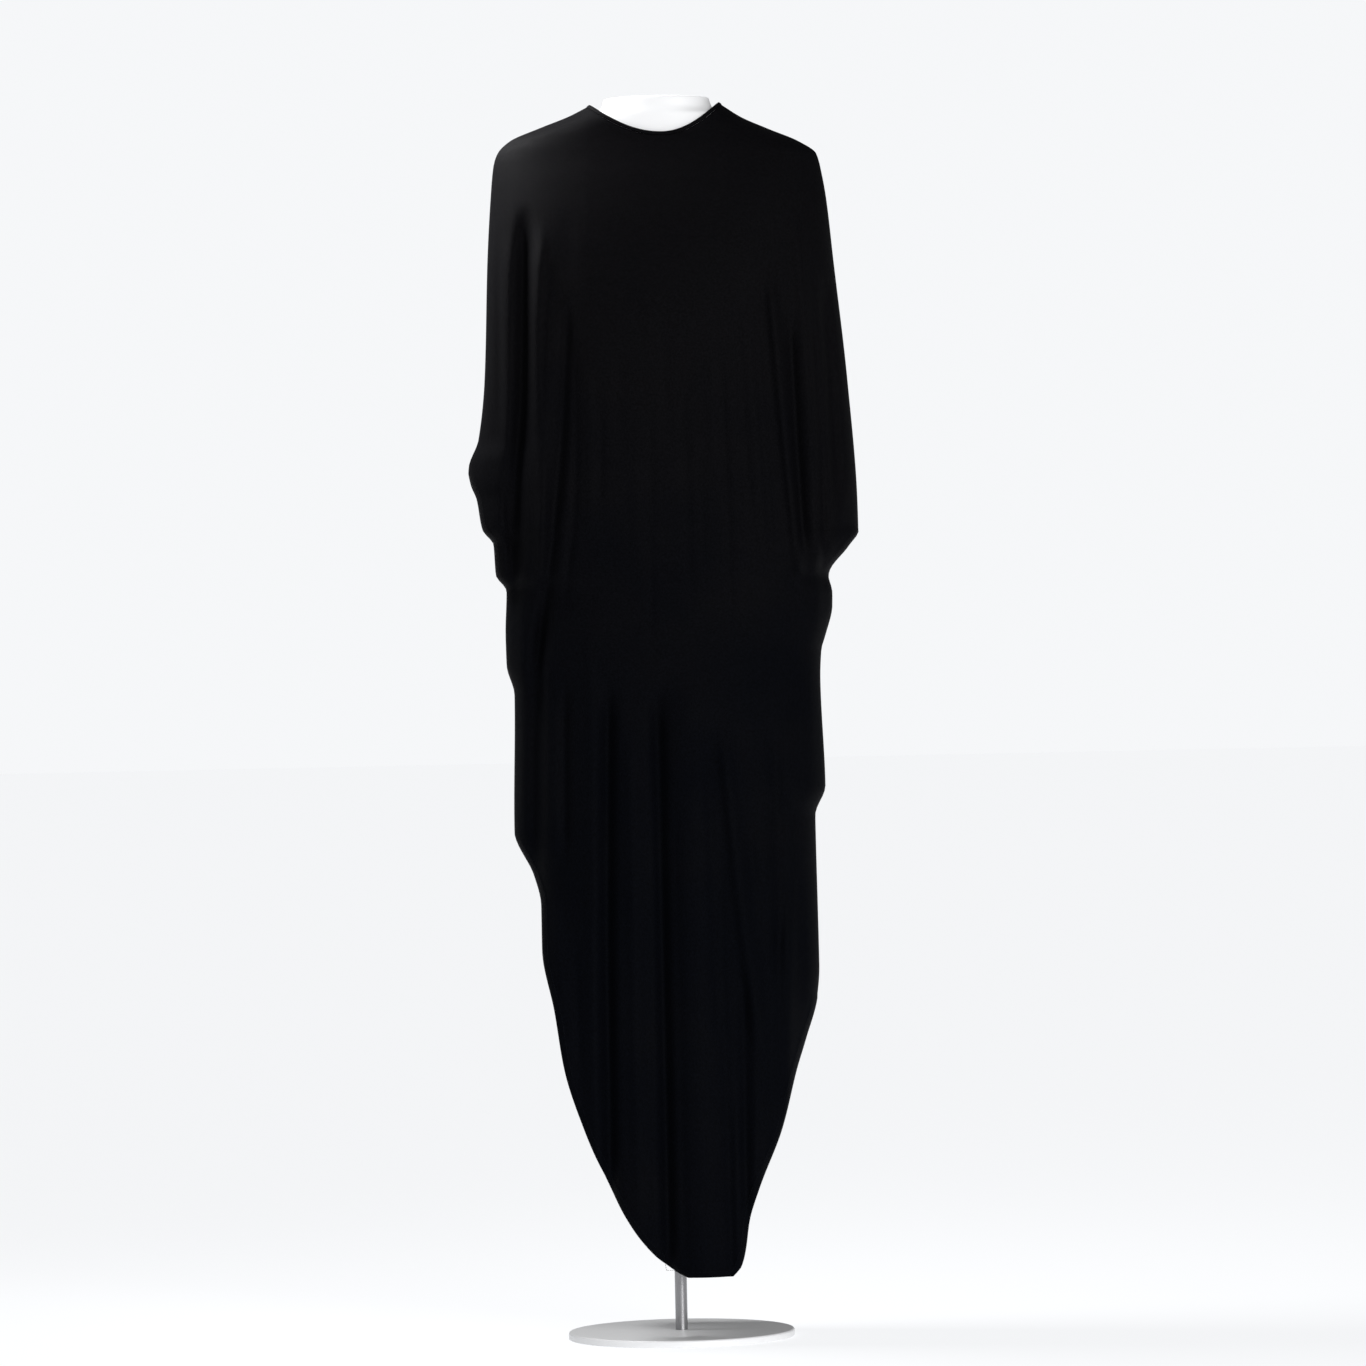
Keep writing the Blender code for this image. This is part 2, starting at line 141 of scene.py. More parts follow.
# Finer creases. Faint upright ones hang from the bust, finer ones fill the sleeves.
CREASES = {
    "front": [Fold(*row) for row in (
        (((270, -103), (462, -108), (640, -127)), -3.2, 5),
        (((310, -88), (560, -91)), 1.3, 6),
        (((340, -75), (520, -78)), -1.5, 5),
        (((290, -51), (470, -53)), -1.0, 7),
        (((400, -36), (620, -33)), 0.9, 6),
        (((360, -15), (690, -20)), -1.4, 5),
        (((250, 4), (450, 5)), -0.8, 6),
        (((330, 25), (640, 30)), -1.5, 6),
        (((420, 44), (610, 47)), -1.1, 5),
        (((280, 58), (500, 62)), 1.2, 7),
        (((300, 72), (660, 81)), -1.9, 5),
        (((240, 92), (540, 104)), -2.2, 6),
        (((330, 110), (620, 122)), 1.6, 6),
        (((270, 116), (590, 131)), -2.6, 5),
        (((210, 134), (441, 151), (660, 172)), 3.6, 6),
        (((200, 192), (460, 203), (590, 203)), 4.5, 4.5),
        (((240, 185), (460, 193), (640, 194)), -5, 4),
        (((150, -198), (420, -201)), -4.5, 4),
        (((330, -212), (470, -218)), 3.5, 5),
        (((420, -196), (600, -190)), -5, 5),
        (((440, 224), (560, 214)), 3.2, 5),
        (((230, -133), (520, -150), (640, -160)), 2.4, 5),
        (((560, -178), (900, -183)), 3.5, 7),
        (((600, -148), (900, -150)), 2.5, 6),
        (((620, 150), (900, 160)), -3.2, 7),
        (((610, 175), (880, 176)), 3.0, 7),
        (((640, -95), (1050, -99), (BELOW_HEM, -102)), 3.0, 8),
        (((760, -48), (BELOW_HEM, -50)), 3.6, 9),
        (((820, -30), (1250, -33)), -2.2, 6),
        (((840, 4), (BELOW_HEM, 7)), -1.8, 6),
        (((790, 46), (1180, 52)), -2.4, 6),
        (((900, 58), (BELOW_HEM, 63)), -2.6, 6),
        (((860, 96), (1000, 99)), -3.0, 6),
        (((1060, 84), (BELOW_HEM, 82)), -3.4, 6),
        (((1210, 73), (BELOW_HEM, 71)), 2.6, 5),
        (((900, 116), (1240, 120)), 3.0, 7),
        (((930, 154), (1150, 158)), -4.0, 7),
        (((1000, -120), (1240, -118)), -3.0, 7),
        (((960, -143), (1150, -140)), 3.2, 7),
        (((150, 60), (230, 64)), -0.7, 14),
        (((120, -110), (260, -116)), -1.2, 12),
        (((110, 118), (250, 128)), -1.4, 12),
    )],
    "back": [Fold(*row) for row in (
        (((240, -122), (600, -130)), -3.0, 6),
        (((260, -98), (560, -103)), 1.8, 7),
        (((300, -78), (640, -82)), -1.6, 6),
        (((280, -45), (540, -47)), -1.3, 6),
        (((330, -20), (600, -22)), -1.2, 6),
        (((270, 8), (520, 9)), 1.2, 7),
        (((310, 30), (600, 33)), -1.5, 6),
        (((290, 57), (560, 61)), -1.4, 6),
        (((260, 86), (640, 93)), -2.0, 6),
        (((280, 112), (580, 121)), 2.2, 6),
        (((250, 128), (560, 134)), -2.6, 6),
        (((180, -162), (520, -168)), 3.0, 5),
        (((250, -188), (500, -194)), 3.6, 5),
        (((230, 180), (520, 190)), -4.4, 5),
        (((260, 203), (500, 214)), 3.8, 5),
        (((180, 157), (540, 164)), 3.0, 5),
        (((700, -88), (BELOW_HEM, -92)), -3.2, 7),
        (((760, -38), (BELOW_HEM, -41)), 3.2, 8),
        (((820, 8), (1350, 12)), -2.4, 7),
        (((780, 60), (BELOW_HEM, 62)), 3.4, 8),
        (((860, 74), (1300, 78)), -2.6, 6),
        (((820, 112), (1200, 116)), -3.4, 7),
        (((840, -134), (1150, -136)), -3.4, 7),
        (((880, 150), (1130, 154)), -3.4, 7),
        (((620, -172), (880, -176)), 3.2, 7),
        (((640, 168), (860, 172)), 3.2, 7),
    )],
}

# Cloth shells: real thickness, grid and the turned hem along the open edges
CLOTH = 1.1
NECK_COLUMNS = 34
MIDDLE_COLUMNS = 9
SIDE_COLUMNS = 42
FOLD_ZONE = 0.55
Band = namedtuple("Band", "end count")
ROW_BANDS = [Band(*row) for row in (
    (1.2, 1), (4.5, 2), (10, 3), (20, 4), (40, 5), (70, 6), (200, 20), (447, 42), (600, 30),
    (894, 44), (1262, 56), (1445, 36),
)]
HEM_WIDTH = 9.0
HEM_STEP = 0.55
HEM_SOFTNESS = 1.6

# Stitching of the hem and the cuffs
STITCH_INSET = 7.0
STITCH_LENGTH = 2.6
STITCH_PITCH = 3.6
STITCH_WIDTH = 0.45
STITCH_HEIGHT = 0.35
STITCH_SUNK = 0.15
STITCH_TOP_SHARE = 0.6
STITCH_PROFILE = ((0, 0.4), (0.25, 1.0), (0.75, 1.0), (1, 0.4))
CUFF_STITCH_INSET = 6.0
CUFF_STITCH_END = 8
SEAM_STITCH_END = 12
TIP_STITCH_END = {"left": 22, "right": 12}
TIP_STITCH_GAP = 3

# Neck binding: a folded strip with a stitched groove near its lower edge
BINDING_HEIGHT = 4.7
BINDING_WALL = 2.6
BINDING_SIDES = 14
BINDING_SQUARENESS = 0.7
BINDING_GROOVE = 0.35
BINDING_GROOVE_PLACE = 0.22
BINDING_GROOVE_SPREAD = 0.5
BINDING_SMOOTHING = 6

# Form, as in the solids
Section = namedtuple("Section", "drop width front back")
SHOULDER_DROPS = (14, 20, 27, 34, 42, 50, 58)
FORM_NECK = [Section(*row) for row in (
    (-8, 61, 52, 52), (-7, 65, 56, 56), (-4, 66, 57, 57), (4, 69, 58, 58), (9, 76, 59, 59),
)]
FORM_TORSO = [Section(*row) for row in (
    (67, 191, 74, 73), (79, 192, 80, 78), (92, 189, 84, 81), (115, 179, 93, 88),
    (145, 163, 104, 95), (180, 151, 113, 99), (225, 148, 120, 98), (270, 150, 121, 94),
    (330, 138, 110, 86), (400, 122, 93, 78), (450, 118, 87, 77), (510, 132, 91, 86),
    (575, 151, 98, 94), (640, 161, 101, 97), (695, 159, 99, 94), (728, 150, 91, 86),
    (741, 128, 74, 70),
)]
FORM_SIDES = 96
FORM_RINGS_BETWEEN = 3
FORM_DROP_CLEARANCE = 1.4
FORM_SIDE_CLEARANCE = 1.1
FORM_DEPTH_CLEARANCE = 3.2
FORM_SHARP_DEGREES = 50
TURNED_SIDES = 96
TURNED_SHARP_DEGREES = 40
ROUNDING_STEPS = 6

# Camera: the photograph has a small roll, and 1.24 mm to a pixel
PHOTO_PIXELS = 1366
MM_PER_PIXEL = 1.24
CAMERA_DISTANCE = 8.0
CAMERA_CENTRE = Vector((0.0181, 0.0, 0.8104))
CAMERA_ROLL = math.radians(1.19)
SENSOR = 36.0

# Light: the pale surroundings as they show, how much they light, the floor and the two lamps
SURROUND = (0.92, 0.93, 0.945, 1.0)
WORLD_LIGHT = 0.13
FLOOR_GLOW = 0.89
FLOOR_COLOUR = (0.25, 0.252, 0.257, 1.0)
FLOOR_REACH = 60.0
FRONT_LIGHT_TOWARD = (-0.42, 0.86, -0.3)
FRONT_LIGHT_STRENGTH = 2.25
FRONT_LIGHT_SPREAD = 40
FRONT_LIGHT_COLOUR = (1.0, 0.995, 0.99)
WINDOW_PLACE = (-0.62, 0.12, 1.92)
WINDOW_AIM = (-0.17, 0.0, 1.44)
WINDOW_WIDTH = 0.35
WINDOW_POWER = 22.0

# Looks of the cloth: colours high and low on the kaftan and its stitching, where the lower ones are
# painted shade, darker and bluer, and the size of the knit in metres
JERSEY_UPPER = (0.0026, 0.0025, 0.0031, 1.0)
JERSEY_LOWER_SHADED = (0.0012, 0.0015, 0.0026, 1.0)
JERSEY_SHEEN = 0.0
THREAD_UPPER = (0.006, 0.006, 0.007, 1.0)
THREAD_LOWER_SHADED = (0.004, 0.005, 0.007, 1.0)
THREAD_SHEEN = 0.02
KNIT_WALE = 0.0010
KNIT_COURSE = 0.0008
KNIT_SLANT = 1.2


def smooth_curve(points):
    """Make a function that reads a monotone smooth curve through (place, value) points."""
    places = np.array([point[0] for point in points], float)
    values = np.array([point[1] for point in points], float)
    spans = np.diff(places)
    slopes = np.diff(values) / spans
    tangents = np.empty(len(points))
    tangents[0] = slopes[0]
    tangents[-1] = slopes[-1]
    before = slopes[:-1]
    after = slopes[1:]
    same_way = before * after > 0
    total = np.where(same_way, before + after, 1.0)
    tangents[1:-1] = np.where(same_way, 2 * before * after / total, 0.0)

    def read(place):
        place = np.clip(np.asarray(place, float), places[0], places[-1])
        index = np.clip(np.searchsorted(places, place) - 1, 0, len(spans) - 1)
        span = spans[index]
        t = (place - places[index]) / span
        return (
            values[index] * (1 + 2 * t) * (1 - t) ** 2
            + values[index + 1] * t * t * (3 - 2 * t)
            + span * tangents[index] * t * (1 - t) ** 2
            - span * tangents[index + 1] * t * t * (1 - t)
        )

    return read


OUT_AT = {side: smooth_curve(OUTLINE[side]) for side in SIDES}
DEPTH_AT = {
    panel: smooth_curve([(row.drop, getattr(row, panel)) for row in DEPTHS])
    for panel in ("front", "back")
}
MIDDLE_AT = smooth_curve(MIDDLE_LINE)
FOLD_AT = {
    panel: [(fold, smooth_curve(fold.path)) for fold in FOLDS[panel] + CREASES[panel]]
    for panel in ("front", "back")
}


def smooth_step(t):
    """Rise softly from 0 to 1."""
    t = np.clip(t, 0.0, 1.0)
    return t * t * (3 - 2 * t)


def edge_x(side, drop):
    """Give the X of the panel's side edge at a drop."""
    return OUT_AT[side](drop) * (-1.0 if side == "left" else 1.0)


def edges_x(x, drop):
    """Give the X of the side edge on the side of the middle line that each point is on."""
    return np.where(x < MIDDLE_AT(drop), edge_x("left", drop), edge_x("right", drop))


def shoulder_drop(side, out):
    """Give the drop of the shoulder line at a distance from the pole's axis."""
    drops = np.linspace(OUTLINE[side][0].drop, SLEEVE_TOP_DROP[side], SHOULDER_SAMPLES)
    return np.interp(out, OUT_AT[side](drops), drops)


def top_drop(panel, x):
    """Give the drop of the panel's top edge: the neckline, or the shoulder line beyond it."""
    left = x < NECK_MIDDLE_X
    neck_x = np.where(left, edge_x("left", NECK_POINT_DROP), edge_x("right", NECK_POINT_DROP))
    reach = (x - NECK_MIDDLE_X) / (neck_x - NECK_MIDDLE_X)
    neck = NECK_POINT_DROP + (NECK_LOW_DROP[panel] - NECK_POINT_DROP) * (1 - reach * reach)
    shoulder = np.where(left, shoulder_drop("left", -x), shoulder_drop("right", x))
    return np.where(np.abs(x) >= np.abs(neck_x), shoulder, neck)


def fullness(share):
    """Give the share of the full depth at a share of the way to the side edge."""
    return (1 - np.clip(share, 0.0, 1.0) ** SECTION_FLATNESS) ** (1 / SECTION_ROUNDNESS)


def edge_parting(panel, left, drop):
    """Give the distance from the middle plane to the panel's side edge: none along a seam."""
    parting = np.zeros_like(drop)
    for side, here in (("left", left), ("right", ~left)):
        first, last = CUFF[side]
        mouth = CUFF_PARTING * np.sin(np.pi * np.clip((drop - first) / (last - first), 0, 1))
        opened = smooth_step((drop - SEAM_END[side]) / HEM_PARTING_LENGTH)
        hem = opened * (1 - HEM_CURL) * DEPTH_AT[panel](drop)
        parting = np.where(here, np.maximum(mouth, hem), parting)
    return parting


def fold_height(panel, x, drop):
    """Add up the folds and creases at each point."""
    total = np.zeros_like(drop)
    for fold, path in FOLD_AT[panel]:
        start = fold.path[0][0]
        end = fold.path[-1][0]
        fade = smooth_step((drop - start) / FOLD_FADE) * smooth_step((end - drop) / FOLD_FADE)
        away = (x - path(drop)) / fold.spread
        total += fold.height * fade * np.exp(-away * away)
    return total


def open_edge_distance(x, drop):
    """Give the distance in the cloth to the nearest open edge: the hem or a cuff."""
    distance = HEM_DROP - drop
    for side in SIDES:
        step = 1.0
        slope = (OUT_AT[side](drop + step) - OUT_AT[side](drop - step)) / (2 * step)
        across = (edge_x(side, drop) - x) * (-1.0 if side == "left" else 1.0)
        away = across / np.sqrt(1 + slope * slope)
        first, last = CUFF[side]
        is_open = (drop > SEAM_END[side]) | ((drop > first) & (drop < last))
        distance = np.minimum(distance, np.where(is_open, away, distance))
    return distance


def cloth_points(panel, x, drop):
    """Give the points of the middle of the cloth, in metres, as an array of shape (..., 3)."""
    middle = MIDDLE_AT(drop)
    left = x < middle
    share = np.minimum(np.abs((x - middle) / (edges_x(x, drop) - middle)), 1.0)
    parting = edge_parting(panel, left, drop)
    open_share = np.minimum(parting / CUFF_PARTING, 1.0)
    seam_hold = 1 - (1 - open_share) * share ** SEAM_HOLD
    depth = parting + (DEPTH_AT[panel](drop) - parting) * fullness(share)
    depth = depth + fold_height(panel, x, drop) * seam_hold + PIECE_GAP / 2
    toward = -1.0 if panel == "front" else 1.0
    return np.stack([x, toward * depth, NECK_POINT_HEIGHT - drop], axis=-1) * MM


def column_shares(side):
    """List the shares of the way from the middle line to the side edge, one for each column."""
    neck_share = float(edge_x(side, NECK_POINT_DROP) / edge_x(side, SLEEVE_TOP_DROP[side]))
    steps = np.arange(NECK_COLUMNS) / NECK_COLUMNS
    neck = neck_share * (steps + np.sin(np.pi / 2 * steps)) / 2
    middle = neck_share + (FOLD_ZONE - neck_share) * np.arange(MIDDLE_COLUMNS) / MIDDLE_COLUMNS
    outer = FOLD_ZONE + (1 - FOLD_ZONE) * np.arange(SIDE_COLUMNS + 1) / SIDE_COLUMNS
    return np.concatenate([neck, middle, outer])


def row_levels():
    """List the drops of the rows, from the top edge down."""
    levels = [0.0]
    for band in ROW_BANDS:
        start = levels[-1]
        levels += [start + (band.end - start) * step / band.count for step in range(1, band.count + 1)]
    return np.array(levels)


def levelled(level, top):
    """Give the drop of a row where the panel's top edge is at a drop: rows level out below it."""
    return level + top * np.maximum(1 - level / ROW_LEVELLING, 0.0)


def panel_places(panel):
    """Give X and drop of each grid point of a panel, and the columns of its two neck points."""
    levels = row_levels()[:, None]
    middle = MIDDLE_AT(levels)
    halves = []
    for side in SIDES:
        shares = column_shares(side)[None, :]
        end = edge_x(side, levelled(levels, SLEEVE_TOP_DROP[side]))
        halves.append(middle + shares * (end - middle))
    x = np.concatenate([halves[0][:, :0:-1], halves[1]], axis=1)
    drop = levelled(levels, top_drop(panel, x))
    reach = MIDDLE_COLUMNS + SIDE_COLUMNS
    return x, drop, (reach, x.shape[1] - 1 - reach)


def panel_normals(panel, points, neck_columns):
    """Give each grid point's outward normal. On a seam it stays in the plane between the panels."""
    across = np.empty_like(points)
    across[:, 1:-1] = points[:, 2:] - points[:, :-2]
    across[:, 0] = points[:, 1] - points[:, 0]
    across[:, -1] = points[:, -1] - points[:, -2]
    first, last = neck_columns
    across[0, first] = points[0, first] - points[0, first - 1]
    across[0, last] = points[0, last + 1] - points[0, last]
    down = np.empty_like(points)
    down[1:-1] = points[2:] - points[:-2]
    down[0] = points[1] - points[0]
    down[-1] = points[-1] - points[-2]
    normals = np.cross(across, down) * (-1.0 if panel == "front" else 1.0)
    normals[0, :first + 1, 1] = 0.0
    normals[0, last:, 1] = 0.0
    for column in (0, -1):
        closed = np.abs(points[:, column, 1]) < PIECE_GAP * MM
        normals[closed, column, 1] = 0.0
    return normals / np.linalg.norm(normals, axis=-1, keepdims=True)


def add_mesh(name, points, faces, material, uv=None):
    """Make a smooth shaded object from arrays of points, quads and, if given, UV places of points."""
    mesh = bpy.data.meshes.new(name)
    mesh.from_pydata(np.asarray(points).tolist(), [], np.asarray(faces).tolist())
    mesh.update()
    if uv is not None:
        layer = mesh.uv_layers.new(name="cloth")
        corners = np.empty(len(mesh.loops), np.int32)
        mesh.loops.foreach_get("vertex_index", corners)
        layer.data.foreach_set("uv", np.asarray(uv, np.float32)[corners].ravel())
    mesh.shade_smooth()
    item = bpy.data.objects.new(name, mesh)
    bpy.context.scene.collection.objects.link(item)
    mesh.materials.append(material)
    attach(item, "root")
    return item


def shell_faces(rows, columns):
    """Give the quads of a shell whose outer points come first and inner points second."""
    index = np.arange(rows * columns).reshape(rows, columns)
    outer = np.stack([index[:-1, :-1], index[1:, :-1], index[1:, 1:], index[:-1, 1:]], -1)
    outer = outer.reshape(-1, 4)
    inner = outer[:, ::-1] + rows * columns
    rim = np.concatenate([index[0, :], index[1:, -1], index[-1, -2::-1], index[-2:0:-1, 0]])
    after = np.roll(rim, -1)
    edge = np.stack([rim, after, after + rows * columns, rim + rows * columns], -1)
    return np.concatenate([outer, inner, edge])


def make_panel(panel, material):
    """Make a cloth panel as a thin shell with its turned hem, laid out in UV at its real size."""
    x, drop, neck_columns = panel_places(panel)
    points = cloth_points(panel, x, drop)
    normals = panel_normals(panel, points, neck_columns)
    turned = smooth_step((HEM_WIDTH - open_edge_distance(x, drop)) / HEM_SOFTNESS) * HEM_STEP
    outer = points + normals * (CLOTH / 2 + turned)[..., None] * MM
    inner = points - normals * CLOTH / 2 * MM
    rows, columns = x.shape
    faces = shell_faces(rows, columns)
    if panel == "back":
        faces = faces[:, ::-1]
    across = np.zeros((rows, columns))
    across[:, 1:] = np.cumsum(np.linalg.norm(np.diff(points, axis=1), axis=-1), axis=1)
    across -= across[:, columns // 2][:, None]
    down = np.zeros((rows, columns))
    down[1:] = np.cumsum(np.linalg.norm(np.diff(points, axis=0), axis=-1), axis=0)
    uv = np.stack([across, -down], -1).reshape(-1, 2)
    every = np.concatenate([outer.reshape(-1, 3), inner.reshape(-1, 3)])
    item = add_mesh(panel + "_cloth", every, faces, material, np.concatenate([uv, uv]))
    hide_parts(panel + "_panel")
    return item


def surface_frame(panel, x, drop):
    """Give points on the outer face of a panel, and its outward normals there."""
    step = 0.5
    here = cloth_points(panel, x, drop)
    across = cloth_points(panel, x + step, drop) - cloth_points(panel, x - step, drop)
    down = cloth_points(panel, x, drop + step) - cloth_points(panel, x, drop - step)
    normals = np.cross(across, down) * (-1.0 if panel == "front" else 1.0)
    normals /= np.linalg.norm(normals, axis=-1, keepdims=True)
    return here + normals * (CLOTH / 2 + HEM_STEP) * MM, normals


def open_edge_path(side, first, last, inset):
    """Give X and drop along an open edge, moved in from it, at close steps."""
    step = 1.0
    drops = np.arange(first, last, step)
    slope = (OUT_AT[side](drops + step) - OUT_AT[side](drops - step)) / (2 * step)
    length = np.sqrt(1 + slope * slope)
    sign = -1.0 if side == "left" else 1.0
    x = sign * (OUT_AT[side](drops) - inset / length)
    return x, drops + inset * slope / length


def stitch_paths(panel):
    """List the paths of stitching on a panel: round the hem and round both cuffs."""
    (left_x, left_drop), (right_x, right_drop) = [
        open_edge_path(
            side, SEAM_END[side] + SEAM_STITCH_END, HEM_DROP - TIP_STITCH_END[side], STITCH_INSET
        )
        for side in SIDES
    ]
    tip_x = np.arange(left_x[-1] + TIP_STITCH_GAP, right_x[-1] - TIP_STITCH_GAP, 1.0)
    tip_drop = np.full_like(tip_x, HEM_DROP - STITCH_INSET)
    hem_x = np.concatenate([left_x, tip_x, right_x[::-1]])
    hem_drop = np.concatenate([left_drop, tip_drop, right_drop[::-1]])
    paths = [(hem_x, hem_drop)]
    for side in SIDES:
        first, last = CUFF[side]
        first += CUFF_STITCH_END
        last -= CUFF_STITCH_END
        paths.append(open_edge_path(side, first, last, CUFF_STITCH_INSET))
    return paths


def make_stitches(panel, material):
    """Make the stitches of a panel's hem and cuffs, one small rounded bar for each stitch."""
    points = []
    faces = []
    for x, drop in stitch_paths(panel):
        places, normals = surface_frame(panel, x, drop)
        run = np.concatenate([[0.0], np.cumsum(np.linalg.norm(np.diff(places, axis=0), axis=1))]) / MM
        starts = np.arange(STITCH_PITCH, run[-1] - STITCH_PITCH, STITCH_PITCH)
        for start in starts:
            ends = [
                np.array([np.interp(at, run, places[:, axis]) for axis in range(3)])
                for at in (start, start + STITCH_LENGTH)
            ]
            normal = normals[np.searchsorted(run, start)]
            along = ends[1] - ends[0]
            along /= max(np.linalg.norm(along), 1e-9)
            side = np.cross(along, normal)
            first = len(points)
            for end, taper in STITCH_PROFILE:
                centre = ends[0] + (ends[1] - ends[0]) * end
                half = side * STITCH_WIDTH / 2 * taper * MM
                low = normal * -STITCH_SUNK * MM
                high = normal * STITCH_HEIGHT * taper * MM
                top = half * STITCH_TOP_SHARE
                points += [centre - half + low, centre + half + low]
                points += [centre + top + high, centre - top + high]
            for ring in range(3):
                base = first + ring * 4
                for corner in range(4):
                    other = (corner + 1) % 4
                    faces.append((base + corner, base + other, base + 4 + other, base + 4 + corner))
            faces.append((first + 3, first + 2, first + 1, first))
            faces.append((first + 12, first + 13, first + 14, first + 15))
    item = add_mesh(panel + "_stitching", points, faces, material)
    return item


def ring_faces(rings, sides, closed):
    """Give the quads that join rings of points."""
    count = rings if closed else rings - 1
    first = np.arange(count)[:, None] * sides
    second = (np.arange(count)[:, None] + 1) % rings * sides
    corner = np.arange(sides)[None, :]
    other = (corner + 1) % sides
    quads = np.stack([first + corner, first + other, second + other, second + corner], -1)
    return quads.reshape(-1, 4)


def make_neck_binding(material):
    """Make the narrow folded strip that stands on the top edges of both panels."""
    places = []
    outward = []
    for panel in ("front", "back"):
        x, drop, neck_columns = panel_places(panel)
        points = cloth_points(panel, x, drop)
        normals = panel_normals(panel, points, neck_columns)
        first, last = neck_columns
        columns = np.arange(first, last + 1)
        if panel == "back":
            columns = np.arange(last - 1, first, -1)
        places.append(points[0, columns])
        outward.append(normals[0, columns])
    places = np.concatenate(places)
    outward = np.concatenate(outward)
    for _ in range(BINDING_SMOOTHING):
        outward = outward * 2 + np.roll(outward, 1, 0) + np.roll(outward, -1, 0)
        outward /= np.linalg.norm(outward, axis=1, keepdims=True)
    along = np.roll(places, -1, 0) - np.roll(places, 1, 0)
    up = np.cross(outward, along)
    up /= np.linalg.norm(up, axis=1, keepdims=True)
    turns = 2 * np.pi * np.arange(BINDING_SIDES) / BINDING_SIDES
    across, upward = np.cos(turns), np.sin(turns)
    out = np.sign(across) * np.abs(across) ** BINDING_SQUARENESS * BINDING_WALL / 2
    rise = np.sign(upward) * np.abs(upward) ** BINDING_SQUARENESS * BINDING_HEIGHT / 2
    above_groove = (rise + BINDING_HEIGHT * BINDING_GROOVE_PLACE) / BINDING_GROOVE_SPREAD
    groove = BINDING_GROOVE * np.exp(-above_groove ** 2)
    out = out - np.sign(out) * groove
    rise = rise + PIECE_GAP + BINDING_HEIGHT / 2
    sideways = outward[:, None] * out[None, :, None] * MM
    rings = places[:, None] + sideways + up[:, None] * rise[None, :, None] * MM
    run = np.concatenate([[0.0], np.cumsum(np.linalg.norm(np.diff(places, axis=0), axis=1))])
    uv = np.stack(np.broadcast_arrays(run[:, None], (rise * MM)[None, :]), -1).reshape(-1, 2)
    faces = ring_faces(len(places), BINDING_SIDES, True)
    item = add_mesh("neck_binding_strip", rings.reshape(-1, 3), faces, material, uv)
    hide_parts("neck_binding")
    return item


def shoulder_section(drop):
    """Give the form's section at a drop where it carries the kaftan's shoulders."""
    widths = [float(OUT_AT[side](drop - FORM_DROP_CLEARANCE)) for side in SIDES]
    depths = [float(DEPTH_AT[panel](drop)) - FORM_DEPTH_CLEARANCE for panel in ("front", "back")]
    return Section(drop, min(widths) - FORM_SIDE_CLEARANCE, *depths)


def make_form(material):
    """Make the form as one smooth loft through its sections, with capped ends."""
    sections = FORM_NECK + [shoulder_section(drop) for drop in SHOULDER_DROPS] + FORM_TORSO
    knots = np.arange(len(sections)) * FORM_RINGS_BETWEEN
    steps = np.arange(knots[-1] + 1)
    columns = [smooth_curve(list(zip(knots, values))) for values in zip(*sections)]
    drop, width, front, back = (column(steps) for column in columns)
    turns = 2 * np.pi * np.arange(FORM_SIDES) / FORM_SIDES
    share = np.cos(turns)
    depth = np.where(np.sin(turns)[None, :] > 0, front[:, None], back[:, None])
    y = -np.sign(np.sin(turns))[None, :] * depth * fullness(np.abs(share))[None, :]
    x = width[:, None] * share[None, :]
    z = np.broadcast_to(NECK_POINT_HEIGHT - drop[:, None], x.shape)
    points = np.stack([x, y, z], -1) * MM
    faces = ring_faces(len(steps), FORM_SIDES, False).tolist()
    faces.append(list(range(FORM_SIDES))[::-1])
    faces.append(list(range((len(steps) - 1) * FORM_SIDES, len(steps) * FORM_SIDES)))
    mesh_points = points.reshape(-1, 3)
    item = add_mixed_mesh("form_body", mesh_points, faces, material, FORM_SHARP_DEGREES)
    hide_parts("dress_form")
    return item


def add_mixed_mesh(name, points, faces, material, sharp_degrees):
    """Make an object from points and faces of any number of corners."""
    mesh = bpy.data.meshes.new(name)
    mesh.from_pydata(points.tolist(), [], faces)
    mesh.update()
    mesh.shade_smooth()
    mesh.set_sharp_from_angle(angle=math.radians(sharp_degrees))
    item = bpy.data.objects.new(name, mesh)
    bpy.context.scene.collection.objects.link(item)
    mesh.materials.append(material)
    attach(item, "root")
    return item


def make_turned(name, profile, material, node):
    """Make a round piece from its profile of (radius, height), bottom to top, with capped ends."""
    turns = 2 * np.pi * np.arange(TURNED_SIDES) / TURNED_SIDES
    circle = np.stack([np.cos(turns), np.sin(turns)], -1)
    rings = [
        np.column_stack([circle * radius, np.full(TURNED_SIDES, height)])
        for radius, height in profile
    ]
    points = np.concatenate(rings) * MM
    faces = ring_faces(len(profile), TURNED_SIDES, False).tolist()
    faces.append(list(range(TURNED_SIDES))[::-1])
    faces.append(list(range((len(profile) - 1) * TURNED_SIDES, len(profile) * TURNED_SIDES)))
    item = add_mixed_mesh(name, points, faces, material, TURNED_SHARP_DEGREES)
    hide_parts(node)
    return item


def rounded_edge(radius, height, edge, inward):
    """Give profile points of a rounded corner at a radius and height."""
    points = []
    for step in range(ROUNDING_STEPS + 1):
        turn = math.pi / 2 * step / ROUNDING_STEPS
        if inward:
            turn = math.pi / 2 - turn
        rise = edge * (1 - math.sin(turn))
        points.append((radius - edge * (1 - math.cos(turn)), height + (rise if inward else -rise)))
    return points


